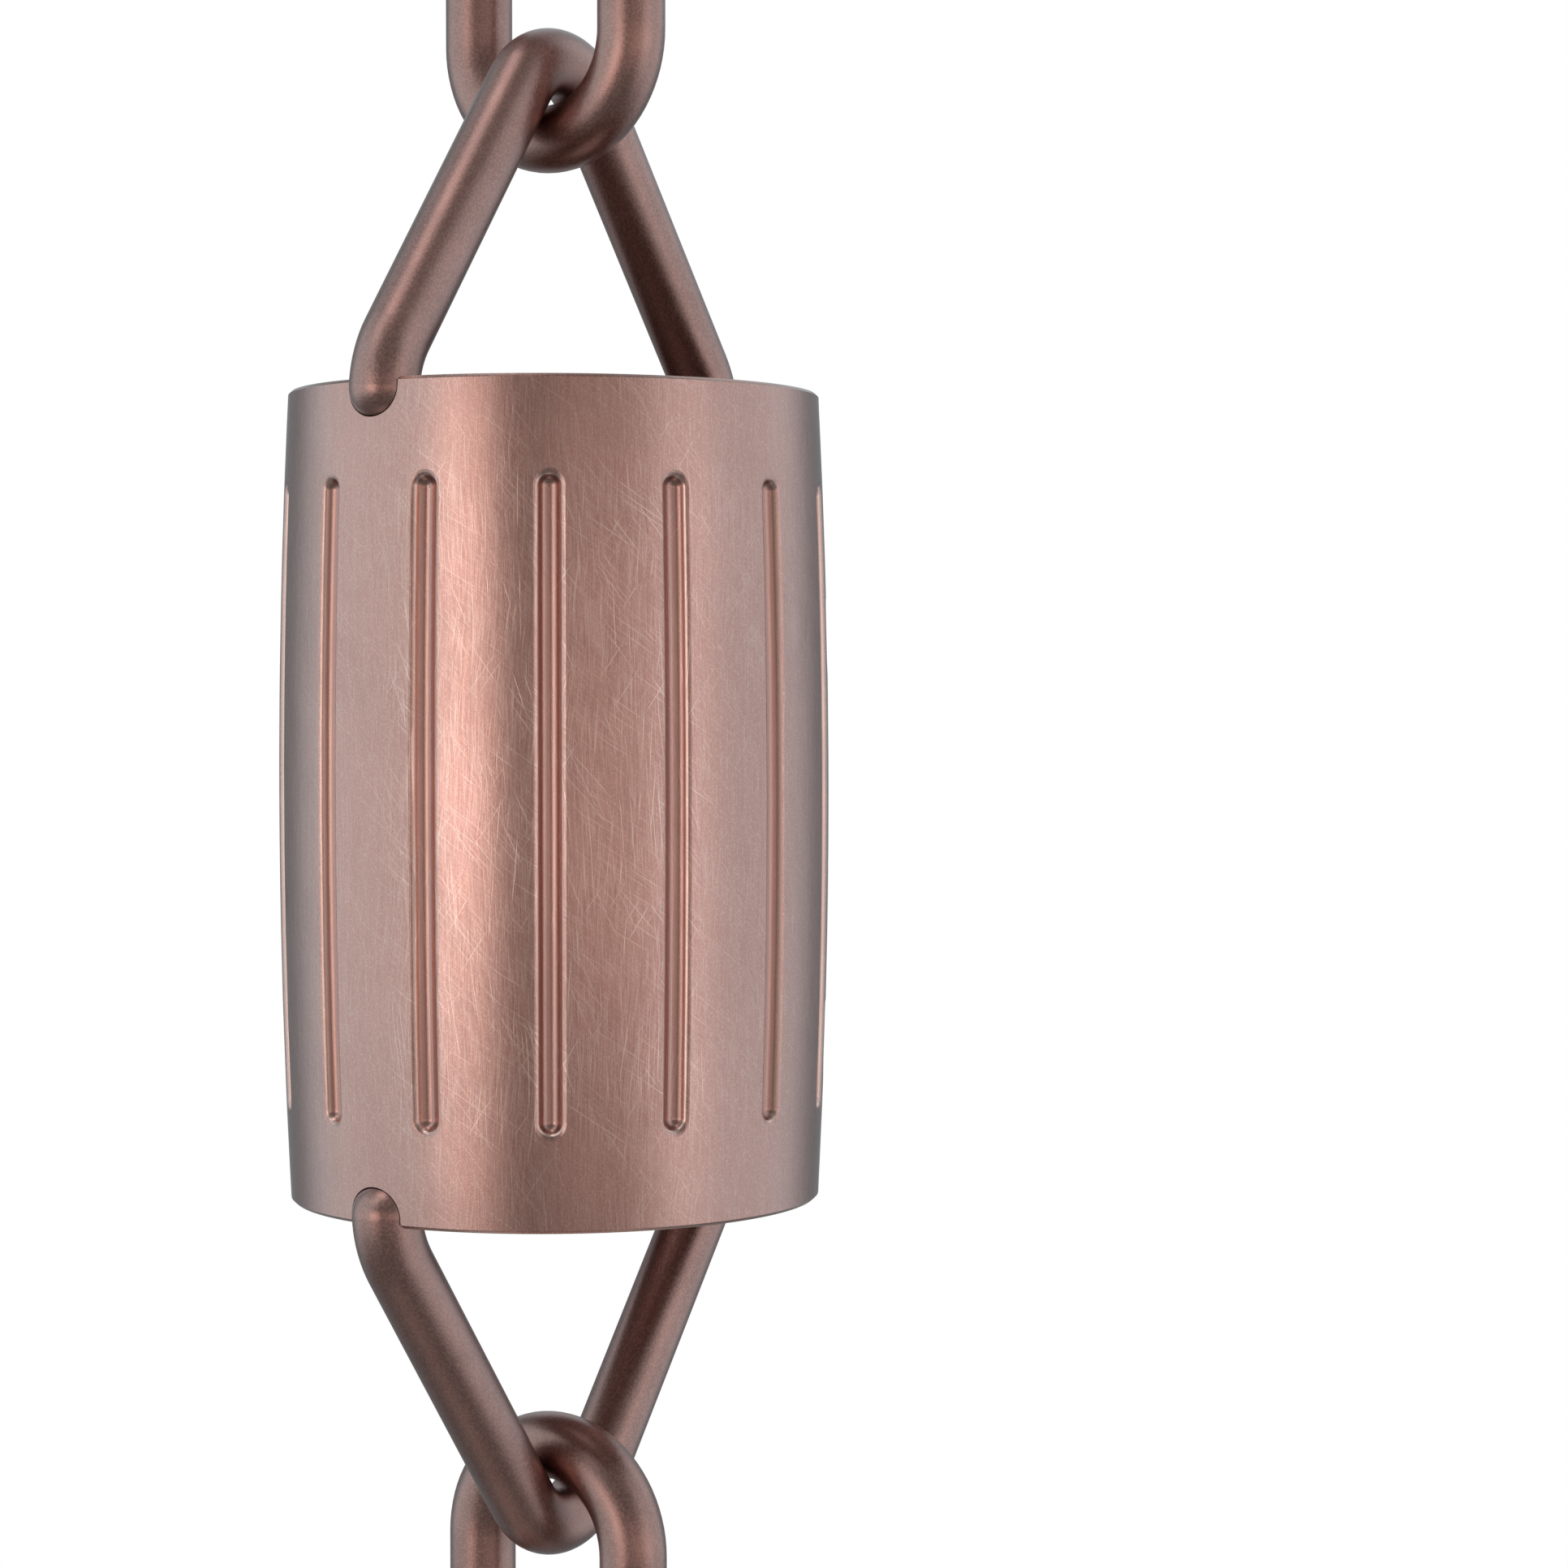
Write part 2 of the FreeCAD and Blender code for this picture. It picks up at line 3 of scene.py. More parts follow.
import bpy
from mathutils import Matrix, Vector


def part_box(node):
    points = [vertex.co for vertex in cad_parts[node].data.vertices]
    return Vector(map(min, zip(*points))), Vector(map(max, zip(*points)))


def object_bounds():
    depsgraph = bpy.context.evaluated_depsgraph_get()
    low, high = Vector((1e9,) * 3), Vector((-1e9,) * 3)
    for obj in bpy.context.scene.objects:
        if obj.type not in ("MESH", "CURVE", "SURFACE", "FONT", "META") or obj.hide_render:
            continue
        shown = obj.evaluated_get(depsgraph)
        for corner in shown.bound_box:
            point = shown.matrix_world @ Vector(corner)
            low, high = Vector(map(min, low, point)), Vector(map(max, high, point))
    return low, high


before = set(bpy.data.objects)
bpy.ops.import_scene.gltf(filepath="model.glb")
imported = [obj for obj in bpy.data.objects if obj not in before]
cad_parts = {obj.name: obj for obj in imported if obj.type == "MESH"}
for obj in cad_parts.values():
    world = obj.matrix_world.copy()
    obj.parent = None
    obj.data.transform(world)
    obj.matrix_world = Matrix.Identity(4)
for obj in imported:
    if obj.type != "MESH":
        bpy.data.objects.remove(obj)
cad_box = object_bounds()

# Cups: four open barrel-shaped tubes of copper sheet, with fourteen pressed flutes round each wall.
# The outside is brushed upright to a satin, lacquered, and scratched where it is handled. The flutes
# are darker and browner, partly patina in the hollows and partly painted shade, and the inside is browner;
# the flutes' edges carry a painted highlight. Both bails are brazed into the rims.
CUPS = sorted(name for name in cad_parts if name.startswith("cup_"))
SATIN_COPPER = (0.535, 0.250, 0.195, 1)
BROWNED_COPPER = (0.490, 0.227, 0.176, 1)
# bright copper of the wear and grain, also used for the painted highlight along the flutes' edges
BARE_COPPER_AND_HIGHLIGHT = (0.98, 0.66, 0.54, 1)
# darker, browner copper in the flutes: partly patina kept in the hollows, partly painted shade
FLUTE_PATINA_AND_SHADE = (0.46, 0.208, 0.158, 1)
INSIDE_BROWN = (0.48, 0.25, 0.20, 1)
DULL_COPPER = (0.30, 0.130, 0.098, 1)
CUP_RIM_INSET = 0.001
WORN_SIDE_TURN = radians(140.6)
LACQUER_ROUGHNESS = 0.25


class Finish:
    """A material that is put together from nodes; each method adds one and gives its output."""

    def __init__(self, name):
        self.material = bpy.data.materials.new(name)
        self.material.use_nodes = True
        self.tree = self.material.node_tree
        self.shader = self.tree.nodes["Principled BSDF"]
        self.place = self.add("ShaderNodeTexCoord").outputs["Object"]

    def add(self, kind, inputs=(), **settings):
        made = self.tree.nodes.new(kind)
        for name, value in settings.items():
            setattr(made, name, value)
        for socket, value in inputs:
            self.feed(made.inputs[socket], value)
        return made

    def feed(self, socket, value):
        if isinstance(value, bpy.types.NodeSocket):
            self.tree.links.new(value, socket)
        else:
            socket.default_value = value

    def maths(self, operation, *values):
        return self.add("ShaderNodeMath", enumerate(values), operation=operation).outputs[0]

    def scaled(self, vector, scale):
        made = self.add("ShaderNodeVectorMath", operation="MULTIPLY")
        self.feed(made.inputs[0], vector)
        self.feed(made.inputs[1], scale)
        return made.outputs[0]

    def turned(self, vector, angle):
        made = self.add("ShaderNodeVectorRotate", rotation_type="Z_AXIS")
        self.feed(made.inputs["Vector"], vector)
        made.inputs["Angle"].default_value = angle
        return made.outputs[0]

    def parts(self, vector):
        return self.add("ShaderNodeSeparateXYZ", [(0, vector)]).outputs

    def noise(self, vector, grain, detail=2.0, rough=0.5):
        """Noise whose lumps are about one grain across, in metres."""
        values = [("Vector", vector), ("Scale", 1 / grain), ("Detail", detail), ("Roughness", rough)]
        return self.add("ShaderNodeTexNoise", values).outputs["Fac"]

    def step(self, value, low, high, start=0.0, end=1.0):
        """Goes smoothly from start to end as the value goes from low to high."""
        made = self.add("ShaderNodeMapRange", interpolation_type="SMOOTHSTEP")
        for socket, given in zip(made.inputs, (value, low, high, start, end)):
            self.feed(socket, given)
        return made.outputs[0]

    def mix(self, share, first, second):
        made = self.add("ShaderNodeMix", data_type="RGBA")
        self.feed(made.inputs["Factor"], share)
        self.feed(made.inputs[6], first)
        self.feed(made.inputs[7], second)
        return made.outputs[2]

    def bump(self, height, strength, distance, *normal):
        values = [("Height", height), ("Strength", strength), ("Distance", distance)]
        values += [("Normal", given) for given in normal]
        return self.add("ShaderNodeBump", values).outputs["Normal"]

    def dress(self, nodes):
        for name in nodes:
            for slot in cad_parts[name].material_slots:
                slot.material = self.material


cup_low, cup_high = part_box(CUPS[0])
cup_radius = (cup_high.y - cup_low.y) / 2
cup_half_height = (cup_high.z - cup_low.z) / 2
cup_middle = (cup_high.z + cup_low.z) / 2
cup_pitch = cup_low.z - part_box(CUPS[1])[0].z

copper = Finish("satin_copper")
across, along, up = copper.parts(copper.turned(copper.place, WORN_SIDE_TURN))
around = copper.maths("MULTIPLY", copper.maths("ARCTAN2", along, across), cup_radius)
wall_place = copper.add("ShaderNodeCombineXYZ", [(0, around), (1, up)]).outputs[0]

# how far a point lies under the barrel's outside: on a flute's edge, which gets a painted highlight, in a
# flute, or on the inside
FLUTE_EDGE_START = (0.00006, 0.00016)
FLUTE_EDGE_END = (0.0003, 0.0005)
FLUTE_WALL = (0.0001, 0.00045)
CUP_INSIDE = (0.0012, 0.0018)
height = copper.maths("WRAP", up, cup_middle + cup_pitch / 2, cup_middle - cup_pitch / 2)
height = copper.maths("DIVIDE", copper.maths("SUBTRACT", height, cup_middle), cup_half_height)
inset = copper.maths("MULTIPLY", copper.maths("MULTIPLY", height, height), CUP_RIM_INSET)
outside = copper.maths("SUBTRACT", cup_radius, inset)
radius = copper.maths("SQRT", copper.maths("ADD", copper.maths("MULTIPLY", across, across),
                                           copper.maths("MULTIPLY", along, along)))
depth = copper.maths("SUBTRACT", outside, radius)
# painted highlight: a bright copper line along each flute's rounded edge
flute_edge_highlight = copper.maths("MULTIPLY", copper.step(depth, *FLUTE_EDGE_START),
                          copper.step(depth, *FLUTE_EDGE_END, 1, 0))
# the flutes are painted darker: partly patina, partly painted shade of the recess
flute_patina_and_shade = copper.step(depth, *FLUTE_WALL)
inside = copper.step(depth, *CUP_INSIDE)

# the barrel's own true curve between the flutes, in place of the small flat faces
BARREL_ROUND = (cup_half_height ** 2 + CUP_RIM_INSET ** 2) / (2 * CUP_RIM_INSET)
NEAR_WALL = 0.0002
WALL_LEAN = radians(9)
x, y, _ = copper.parts(copper.place)
lean = copper.maths("MULTIPLY", copper.maths("MULTIPLY", height, radius), cup_half_height / BARREL_ROUND)
curve = copper.add("ShaderNodeCombineXYZ", [(0, x), (1, y), (2, lean)]).outputs[0]
curve = copper.add("ShaderNodeVectorTransform", [(0, curve)], vector_type="NORMAL",
                   convert_from="OBJECT", convert_to="WORLD").outputs[0]
curve = copper.add("ShaderNodeVectorMath", [(0, curve)], operation="NORMALIZE").outputs[0]
facing = copper.add("ShaderNodeNewGeometry").outputs
along_curve = copper.add("ShaderNodeVectorMath", [(0, facing["True Normal"]), (1, curve)],
                         operation="DOT_PRODUCT").outputs["Value"]
on_wall = copper.maths("GREATER_THAN", along_curve, cos(WALL_LEAN))
on_wall = copper.maths("MULTIPLY", on_wall, copper.maths("LESS_THAN", depth, NEAR_WALL))
wall_normal = copper.add("ShaderNodeMix", data_type="VECTOR")
copper.feed(wall_normal.inputs["Factor"], on_wall)
copper.feed(wall_normal.inputs[4], facing["Normal"])
copper.feed(wall_normal.inputs[5], curve)
wall_normal = wall_normal.outputs[1]

# the brushed grain, drawn out upright, and the finer and wider unevenness under it
BRUSH_GRAIN = 0.00013
BRUSH_DRAWN = (1, 1, 0.035)
STREAK_GRAIN = 0.0011
STREAK_DRAWN = (1, 1, 0.05)
MOTTLE_GRAIN = 0.017
SPECK_GRAIN = 0.00018
brushing = copper.noise(copper.scaled(copper.place, BRUSH_DRAWN), BRUSH_GRAIN, 2.0, 0.6)
streaks = copper.noise(copper.scaled(copper.place, STREAK_DRAWN), STREAK_GRAIN, 3.0, 0.6)
mottle = copper.noise(copper.place, MOTTLE_GRAIN, 5.0, 0.6)
specks = copper.noise(copper.place, SPECK_GRAIN, 1.0, 0.5)

# wear: long scratches in patches, and short bright and dull strokes. Each set has its angle from upright,
# the spacing, length and half width of its lines, and the share of places that have one.
SCRATCH_SETS = (
    (radians(-4), 0.00050, 0.011, 0.00005, 0.50),
    (radians(6), 0.00060, 0.009, 0.00005, 0.45),
    (radians(-22), 0.00070, 0.008, 0.00005, 0.40),
    (radians(-38), 0.00055, 0.008, 0.00005, 0.45),
    (radians(-57), 0.00060, 0.010, 0.00005, 0.40),
    (radians(33), 0.00090, 0.008, 0.00005, 0.40),
)
STROKE_SETS = (
    (radians(-2), 0.00017, 0.0050, 0.00007, 0.50),
    (radians(3), 0.00019, 0.0040, 0.00007, 0.45),
    (radians(-48), 0.00021, 0.0030, 0.00006, 0.35),
)
DULL_SETS = (
    (radians(-1), 0.00018, 0.0045, 0.00007, 0.45),
    (radians(4), 0.00020, 0.0038, 0.00007, 0.45),
    (radians(-55), 0.00022, 0.0028, 0.00006, 0.35),
)
LINE_SHIFT = 97
LINE_ROOM = 0.6
LINE_TAPER = (0.15, 0.5)
FAINTEST_LINE = 0.3
BEND_GRAIN = 0.02
BEND_REACH = 0.0025
PATCH_SHARE = 0.6
PATCH_EDGE = (0.42, 0.58)
HANDLED_HALF_WIDTH = (0.0115, 0.0165)
HANDLED_HALF_HEIGHT = (0.68, 0.86)
WEAR_AT_SIDES = 0.3
WEAR_AT_RIMS = 0.5
bend = copper.noise(wall_place, BEND_GRAIN, 1.0)
bend = copper.add("ShaderNodeCombineXYZ", [(0, copper.maths("MULTIPLY", bend, BEND_REACH))]).outputs[0]
bent_place = copper.add("ShaderNodeVectorMath", [(0, wall_place), (1, bend)]).outputs[0]


def scratches(angle, spacing, length, width, share):
    """Fine lines at an angle from upright, each with its own place and strength."""
    sideways, upward, _ = copper.parts(copper.turned(bent_place, angle))
    sideways = copper.maths("DIVIDE", sideways, spacing)
    column = copper.maths("FLOOR", sideways)
    shift = copper.add("ShaderNodeTexWhiteNoise", [("W", column)], noise_dimensions="1D").outputs["Value"]
    upward = copper.maths("MULTIPLY_ADD", shift, LINE_SHIFT, copper.maths("DIVIDE", upward, length))
    row = copper.maths("FLOOR", upward)
    cell = copper.add("ShaderNodeCombineXYZ", [(0, column), (1, row), (2, angle)]).outputs[0]
    cell = copper.add("ShaderNodeTexWhiteNoise", [(0, cell)]).outputs["Color"]
    chance, place, strength = copper.parts(cell)
    middle = copper.maths("MULTIPLY_ADD", place, LINE_ROOM, (1 - LINE_ROOM) / 2)
    off = copper.maths("ABSOLUTE", copper.maths("SUBTRACT", copper.maths("FRACT", sideways), middle))
    line = copper.step(off, 0, width / spacing, 1, 0)
    off = copper.maths("ABSOLUTE", copper.maths("SUBTRACT", copper.maths("FRACT", upward), 0.5))
    line = copper.maths("MULTIPLY", line, copper.step(off, *LINE_TAPER, 1, 0))
    line = copper.maths("MULTIPLY", line, copper.maths("LESS_THAN", chance, share))
    strength = copper.maths("MULTIPLY_ADD", strength, 1 - FAINTEST_LINE, FAINTEST_LINE)
    return copper.maths("MULTIPLY", line, strength)


worn = 0.0
for scratch_set in SCRATCH_SETS:
    patches = copper.noise(wall_place, PATCH_SHARE * scratch_set[2], 1.0)
    gathered = copper.maths("MULTIPLY", scratches(*scratch_set), copper.step(patches, *PATCH_EDGE))
    worn = copper.maths("MAXIMUM", worn, gathered)
strokes = 0.0
for stroke_set in STROKE_SETS:
    strokes = copper.maths("MAXIMUM", strokes, scratches(*stroke_set))
dull = 0.0
for dull_set in DULL_SETS:
    dull = copper.maths("MAXIMUM", dull, scratches(*dull_set))
on_worn_side = copper.step(copper.maths("ABSOLUTE", around), *HANDLED_HALF_WIDTH, 1, WEAR_AT_SIDES)
near_middle = copper.step(copper.maths("ABSOLUTE", height), *HANDLED_HALF_HEIGHT, 1, WEAR_AT_RIMS)
handled = copper.maths("MULTIPLY", on_worn_side, near_middle)
worn = copper.maths("MULTIPLY", worn, handled)
strokes = copper.maths("MULTIPLY", strokes, handled)
dull = copper.maths("MULTIPLY", dull, handled)

# the colour, from the browned sheet up to the bright copper of the wear and the painted highlight on the
# flutes' edges: each layer has where it shows and its copper
MOTTLE_SPAN = (0.36, 0.66)
BRUSH_SPAN = (0.40, 0.72)
STREAK_SPAN = (0.50, 0.75)
SPECK_SPAN = (0.46, 0.74)
BRUSH_SHARE = 0.08
STREAK_SHARE = 0.06
SPECK_SHARE = 0.20
DULL_SHARE = 0.50
STROKE_SHARE = 0.36
FLUTE_PATINA_AND_SHADE_SHARE = 0.75
EDGE_HIGHLIGHT_SHARE = 0.40
INSIDE_SHARE = 0.8
colour = copper.mix(copper.step(mottle, *MOTTLE_SPAN), BROWNED_COPPER, SATIN_COPPER)
layers = (
    (copper.step(brushing, *BRUSH_SPAN, 0, BRUSH_SHARE), BARE_COPPER_AND_HIGHLIGHT),
    (copper.step(streaks, *STREAK_SPAN, 0, STREAK_SHARE), BARE_COPPER_AND_HIGHLIGHT),
    (copper.step(specks, *SPECK_SPAN, 0, SPECK_SHARE), BARE_COPPER_AND_HIGHLIGHT),
    (copper.maths("MULTIPLY", dull, DULL_SHARE), DULL_COPPER),
    (copper.maths("MULTIPLY", strokes, STROKE_SHARE), BARE_COPPER_AND_HIGHLIGHT),
    (worn, BARE_COPPER_AND_HIGHLIGHT),
    # darker and browner in the flutes: partly patina, partly painted shade
    (copper.maths("MULTIPLY", flute_patina_and_shade, FLUTE_PATINA_AND_SHADE_SHARE), FLUTE_PATINA_AND_SHADE),
    # painted highlight along the flutes' edges
    (copper.maths("MULTIPLY", flute_edge_highlight, EDGE_HIGHLIGHT_SHARE), BARE_COPPER_AND_HIGHLIGHT),
    (copper.maths("MULTIPLY", inside, INSIDE_SHARE), INSIDE_BROWN),
)
for share, shade in layers:
    colour = copper.mix(share, colour, shade)
copper.feed(copper.shader.inputs["Base Color"], colour)

# the sheen and the fine relief of the brushing, with the scratches cut into it
SHEEN_BRUSH_SPAN = (0.30, 0.70)
SHEEN_MOTTLE_SPAN = (0.40, 0.65)
BRUSHED_ROUGHNESS = (0.23, 0.31)
MOTTLE_ROUGHNESS = 0.03
INSIDE_ROUGHNESS = 0.14
BRUSH_RELIEF = 0.5
SPECK_RELIEF = 0.5
SCRATCH_RELIEF = 0.4
RELIEF_STRENGTH = 0.5
RELIEF_DEPTH = 0.00002
rough = copper.step(brushing, *SHEEN_BRUSH_SPAN, *BRUSHED_ROUGHNESS)
rough = copper.maths("ADD", rough, copper.step(mottle, *SHEEN_MOTTLE_SPAN, MOTTLE_ROUGHNESS, 0))
rough = copper.maths("ADD", rough, copper.maths("MULTIPLY", inside, INSIDE_ROUGHNESS))
copper.feed(copper.shader.inputs["Roughness"], rough)
relief = copper.maths("ADD", copper.maths("MULTIPLY", brushing, BRUSH_RELIEF),
                      copper.maths("MULTIPLY", specks, SPECK_RELIEF))
relief = copper.maths("SUBTRACT", relief, copper.maths("MULTIPLY", worn, SCRATCH_RELIEF))
relief = copper.bump(relief, RELIEF_STRENGTH, RELIEF_DEPTH, wall_normal)
copper.feed(copper.shader.inputs["Normal"], relief)
copper.shader.inputs["Metallic"].default_value = 1
copper.shader.inputs["Coat Weight"].default_value = 1
copper.shader.inputs["Coat Roughness"].default_value = LACQUER_ROUGHNESS
copper.dress(CUPS)

# Bails and links: round copper wire, bent cold and left to tone down to a dark brown. Each bail's two
# feet are domed and brazed into notches of a cup's rim; the oval links are closed and hang loose in
# the bails' bends. The wire keeps the fine sandy grain of its tumbled finish under the lacquer, and the
# bright specks on that grain are painted glints.
WIRES = sorted(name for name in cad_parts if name.startswith(("upper_bail", "lower_bail", "link_")))
WIRE_BROWN = (0.375, 0.168, 0.128, 1)
WIRE_UMBER = (0.325, 0.145, 0.110, 1)
WIRE_GLINT = (0.64, 0.35, 0.28, 1)
SAND_GRAIN = 0.00022
FINE_SAND_GRAIN = 0.00012
CLOUD_GRAIN = 0.009
CLOUD_SPAN = (0.36, 0.64)
GLINT_SPAN = (0.35, 0.72)
GLINT_SHARE = 0.34
SHEEN_SAND_SPAN = (0.30, 0.70)
SAND_ROUGHNESS = (0.29, 0.37)
CLOUD_ROUGHNESS = 0.04
SAND_RELIEF = 0.7
FINE_SAND_RELIEF = 0.3
WIRE_RELIEF_STRENGTH = 0.6
WIRE_RELIEF_DEPTH = 0.00003
WIRE_LACQUER_ROUGHNESS = 0.35

wire = Finish("browned_copper_wire")
sand = wire.noise(wire.place, SAND_GRAIN, 1.0, 0.5)
fine_sand = wire.noise(wire.place, FINE_SAND_GRAIN, 1.0, 0.5)
cloud = wire.noise(wire.place, CLOUD_GRAIN, 4.0, 0.6)
colour = wire.mix(wire.step(cloud, *CLOUD_SPAN), WIRE_UMBER, WIRE_BROWN)
# painted glints: bright copper specks on the sandy grain
colour = wire.mix(wire.step(sand, *GLINT_SPAN, 0, GLINT_SHARE), colour, WIRE_GLINT)
wire.feed(wire.shader.inputs["Base Color"], colour)
rough = wire.maths("ADD", wire.step(sand, *SHEEN_SAND_SPAN, *SAND_ROUGHNESS),
                   wire.step(cloud, *CLOUD_SPAN, CLOUD_ROUGHNESS, 0))
wire.feed(wire.shader.inputs["Roughness"], rough)
grain = wire.maths("ADD", wire.maths("MULTIPLY", sand, SAND_RELIEF),
                   wire.maths("MULTIPLY", fine_sand, FINE_SAND_RELIEF))
grain = wire.bump(grain, WIRE_RELIEF_STRENGTH, WIRE_RELIEF_DEPTH)
wire.feed(wire.shader.inputs["Normal"], grain)
wire.shader.inputs["Metallic"].default_value = 1
wire.shader.inputs["Coat Weight"].default_value = 1
wire.shader.inputs["Coat Roughness"].default_value = WIRE_LACQUER_ROUGHNESS
wire.dress(WIRES)

# Floor: a pale matt disc under the chain, which keeps its shadow and melts into the white at its edge.
# It is part of the studio, not of the chain.
FLOOR_DROP = 0.035
FLOOR_RADIUS = 0.28
FLOOR_SIDES = 128
FADE_START = 0.05 * FLOOR_RADIUS
FADE_END = 0.98 * FLOOR_RADIUS
FLOOR_PALE = (0.95, 0.80, 0.73, 1)
FLOOR_LIFT = 0.30


def stage_material(name):
    finish = Finish(name)
    finish.tree.nodes.remove(finish.shader)
    return finish, finish.tree.nodes["Material Output"].inputs["Surface"]


bpy.ops.object.select_all(action="DESELECT")
floor_height = cad_box[0].z - FLOOR_DROP
bpy.ops.mesh.primitive_circle_add(vertices=FLOOR_SIDES, radius=FLOOR_RADIUS, fill_type="NGON",
                                  location=(0, 0, floor_height))
floor = bpy.context.object
floor.name = "floor"
bpy.ops.object.transform_apply()
matt, surface = stage_material("pale_floor")
x, y, _ = matt.parts(matt.place)
reach = matt.maths("SQRT", matt.maths("ADD", matt.maths("MULTIPLY", x, x), matt.maths("MULTIPLY", y, y)))
fade = matt.step(reach, FADE_START, FADE_END)
paths = matt.add("ShaderNodeLightPath").outputs
shown = matt.maths("MAXIMUM", paths["Is Camera Ray"], paths["Is Glossy Ray"])
shown = matt.maths("MAXIMUM", shown, paths["Is Transmission Ray"])
lift = matt.add("ShaderNodeEmission", [("Strength", matt.maths("MULTIPLY", shown, FLOOR_LIFT))]).outputs[0]
pale = matt.add("ShaderNodeBsdfDiffuse", [("Color", FLOOR_PALE)]).outputs[0]
pale = matt.add("ShaderNodeAddShader", [(0, pale), (1, lift)]).outputs[0]
clear = matt.add("ShaderNodeBsdfTransparent").outputs[0]
matt.feed(surface, matt.add("ShaderNodeMixShader", [(0, fade), (1, pale), (2, clear)]).outputs[0])
floor.data.materials.append(matt.material)

# Camera: a long lens close to the second cup and about level with it, facing the worn side of the wall.
# It looks down very slightly. The cup, its two bails and the ends of two links fill the picture.
SENSOR_WIDTH = 36
CAMERA_LENS = 82.05
CAMERA_PLACE = (-0.2588, -0.2210, -0.29918)
CAMERA_AHEAD = (0.8004, 0.5995)
CAMERA_TILT = radians(-1.726)
CLIP_START = 0.01
CLIP_END = 100
camera_data = bpy.data.cameras.new("camera")
camera_data.sensor_width = SENSOR_WIDTH
camera_data.lens = CAMERA_LENS
camera_data.clip_start = CLIP_START
camera_data.clip_end = CLIP_END
camera = bpy.data.objects.new("camera", camera_data)
bpy.context.scene.collection.objects.link(camera)
camera.location = CAMERA_PLACE
level = cos(CAMERA_TILT)
look = Vector((CAMERA_AHEAD[0] * level, CAMERA_AHEAD[1] * level, sin(CAMERA_TILT)))
camera.rotation_mode = "QUATERNION"
camera.rotation_quaternion = look.to_track_quat("-Z", "Y")
bpy.context.scene.camera = camera

# Studio: a wide round tent of dim grey cloth with a few lit panels, which the copper mirrors. Each panel
# has its angle to the right of the camera's side and its height, in degrees, then half its width and
# half its height, how soft its edge is, and its light. The camera itself sees past the tent.
TENT_RADIUS = 6.0
TENT_SEGMENTS = 96
TENT_RINGS = 48
TENT_CLOTH = (0.175, 0.205, 0.22, 1)
PANELS = {
    "left_fill": (-86, 14, 42, 38, 16, (0.52, 0.73, 0.84, 1)),
    "overhead": (-58, 73, 44, 8, 5, (2.10, 2.30, 2.50, 1)),
    "upper_left": (-55, 50, 17, 11, 8, (0.85, 0.92, 0.98, 1)),
    "belt": (-22, -1, 88, 11, 9, (0.17, 0.145, 0.13, 1)),
    "softbox": (-38.5, -0.5, 12.5, 11.5, 6, (1.62, 1.55, 1.54, 1)),
    "front_fill": (33, -1, 34, 11, 8, (0.42, 0.40, 0.40, 1)),
    "front_upper": (0, 60, 42, 18, 10, (0.12, 0.12, 0.12, 1)),
    "right_fill": (85, 8, 42, 44, 17, (0.55, 0.71, 0.81, 1)),
    "upper_back": (155, 40, 48, 26, 12, (0.28, 0.35, 0.39, 1)),
    "back_fill": (180, 10, 15, 50, 5, (0.10, 0.10, 0.10, 1)),
}
camera_side = atan2(camera.location.y, camera.location.x)
tent_middle = cup_middle - cup_pitch
bpy.ops.object.select_all(action="DESELECT")
bpy.ops.mesh.primitive_uv_sphere_add(segments=TENT_SEGMENTS, ring_count=TENT_RINGS,
                                     radius=TENT_RADIUS, location=(0, 0, tent_middle))
tent = bpy.context.object
tent.name = "studio_tent"
bpy.ops.object.transform_apply()
cloth, surface = stage_material("tent_cloth")
across, along, up = cloth.parts(cloth.turned(cloth.place, -camera_side))
turn = cloth.maths("DEGREES", cloth.maths("ARCTAN2", along, across))
rise = cloth.maths("DIVIDE", cloth.maths("SUBTRACT", up, tent_middle), TENT_RADIUS)
rise = cloth.maths("DEGREES", cloth.maths("ARCSINE", rise))


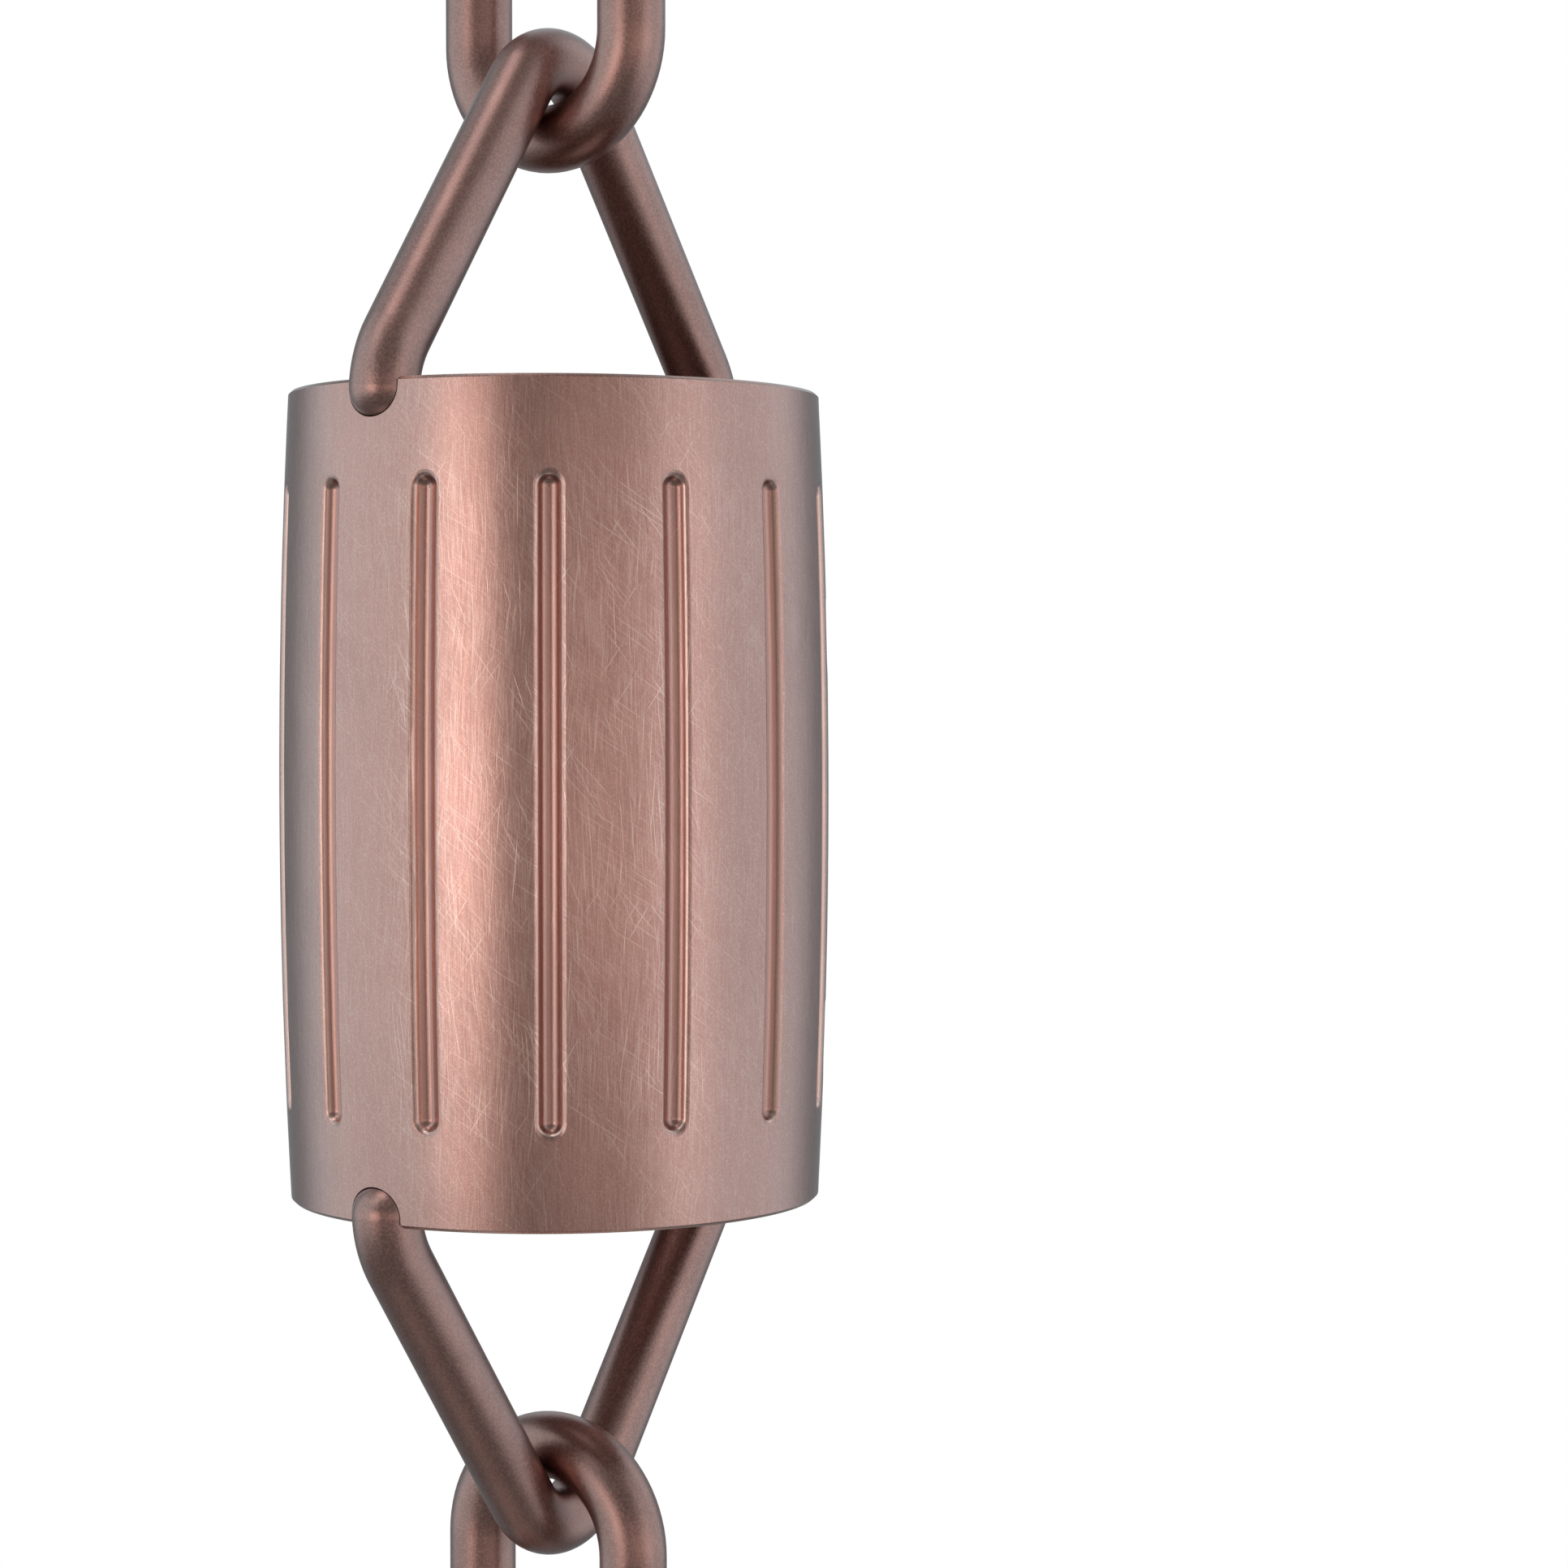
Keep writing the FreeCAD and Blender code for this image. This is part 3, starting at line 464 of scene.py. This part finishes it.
def panel_light(light, angle, height, half_width, half_height, soft, colour):
    """Adds one lit panel to the tent's light."""
    off = cloth.maths("WRAP", cloth.maths("SUBTRACT", turn, angle), 180, -180)
    wide = cloth.step(cloth.maths("ABSOLUTE", off), half_width - soft, half_width + soft, 1, 0)
    off = cloth.maths("ABSOLUTE", cloth.maths("SUBTRACT", rise, height))
    tall = cloth.step(off, half_height - soft, half_height + soft, 1, 0)
    share = cloth.maths("MULTIPLY", wide, tall)
    added = cloth.add("ShaderNodeMix", data_type="RGBA", blend_type="ADD")
    cloth.feed(added.inputs["Factor"], share)
    cloth.feed(added.inputs[6], light)
    cloth.feed(added.inputs[7], colour)
    return added.outputs[2]


tent_light = TENT_CLOTH
for panel in PANELS.values():
    tent_light = panel_light(tent_light, *panel)
cloth.feed(surface, cloth.add("ShaderNodeEmission", [("Color", tent_light)]).outputs[0])
tent.data.materials.append(cloth.material)
tent.visible_camera = False

# World: plain white behind everything that is seen or mirrored, and a little dimmer for all other rays.
# It stands for the white backdrop; the tent lights the chain.
ROOM_SEEN = 1.0
ROOM_LIGHT = 0.9
WHITE = (1, 1, 1, 1)
world = bpy.data.worlds.new("white_room")
bpy.context.scene.world = world
world.use_nodes = True
nodes = world.node_tree.nodes
links = world.node_tree.links
paths = nodes.new("ShaderNodeLightPath")
seen = nodes.new("ShaderNodeMath")
seen.operation = "MAXIMUM"
links.new(paths.outputs["Is Camera Ray"], seen.inputs[0])
links.new(paths.outputs["Is Glossy Ray"], seen.inputs[1])
shown = nodes.new("ShaderNodeMath")
shown.operation = "MAXIMUM"
links.new(seen.outputs[0], shown.inputs[0])
links.new(paths.outputs["Is Transmission Ray"], shown.inputs[1])
strength = nodes.new("ShaderNodeMapRange")
links.new(shown.outputs[0], strength.inputs["Value"])
strength.inputs["To Min"].default_value = ROOM_LIGHT
strength.inputs["To Max"].default_value = ROOM_SEEN
background = nodes["Background"]
background.inputs["Color"].default_value = WHITE
links.new(strength.outputs[0], background.inputs["Strength"])
bpy.context.scene.view_settings.view_transform = "Standard"
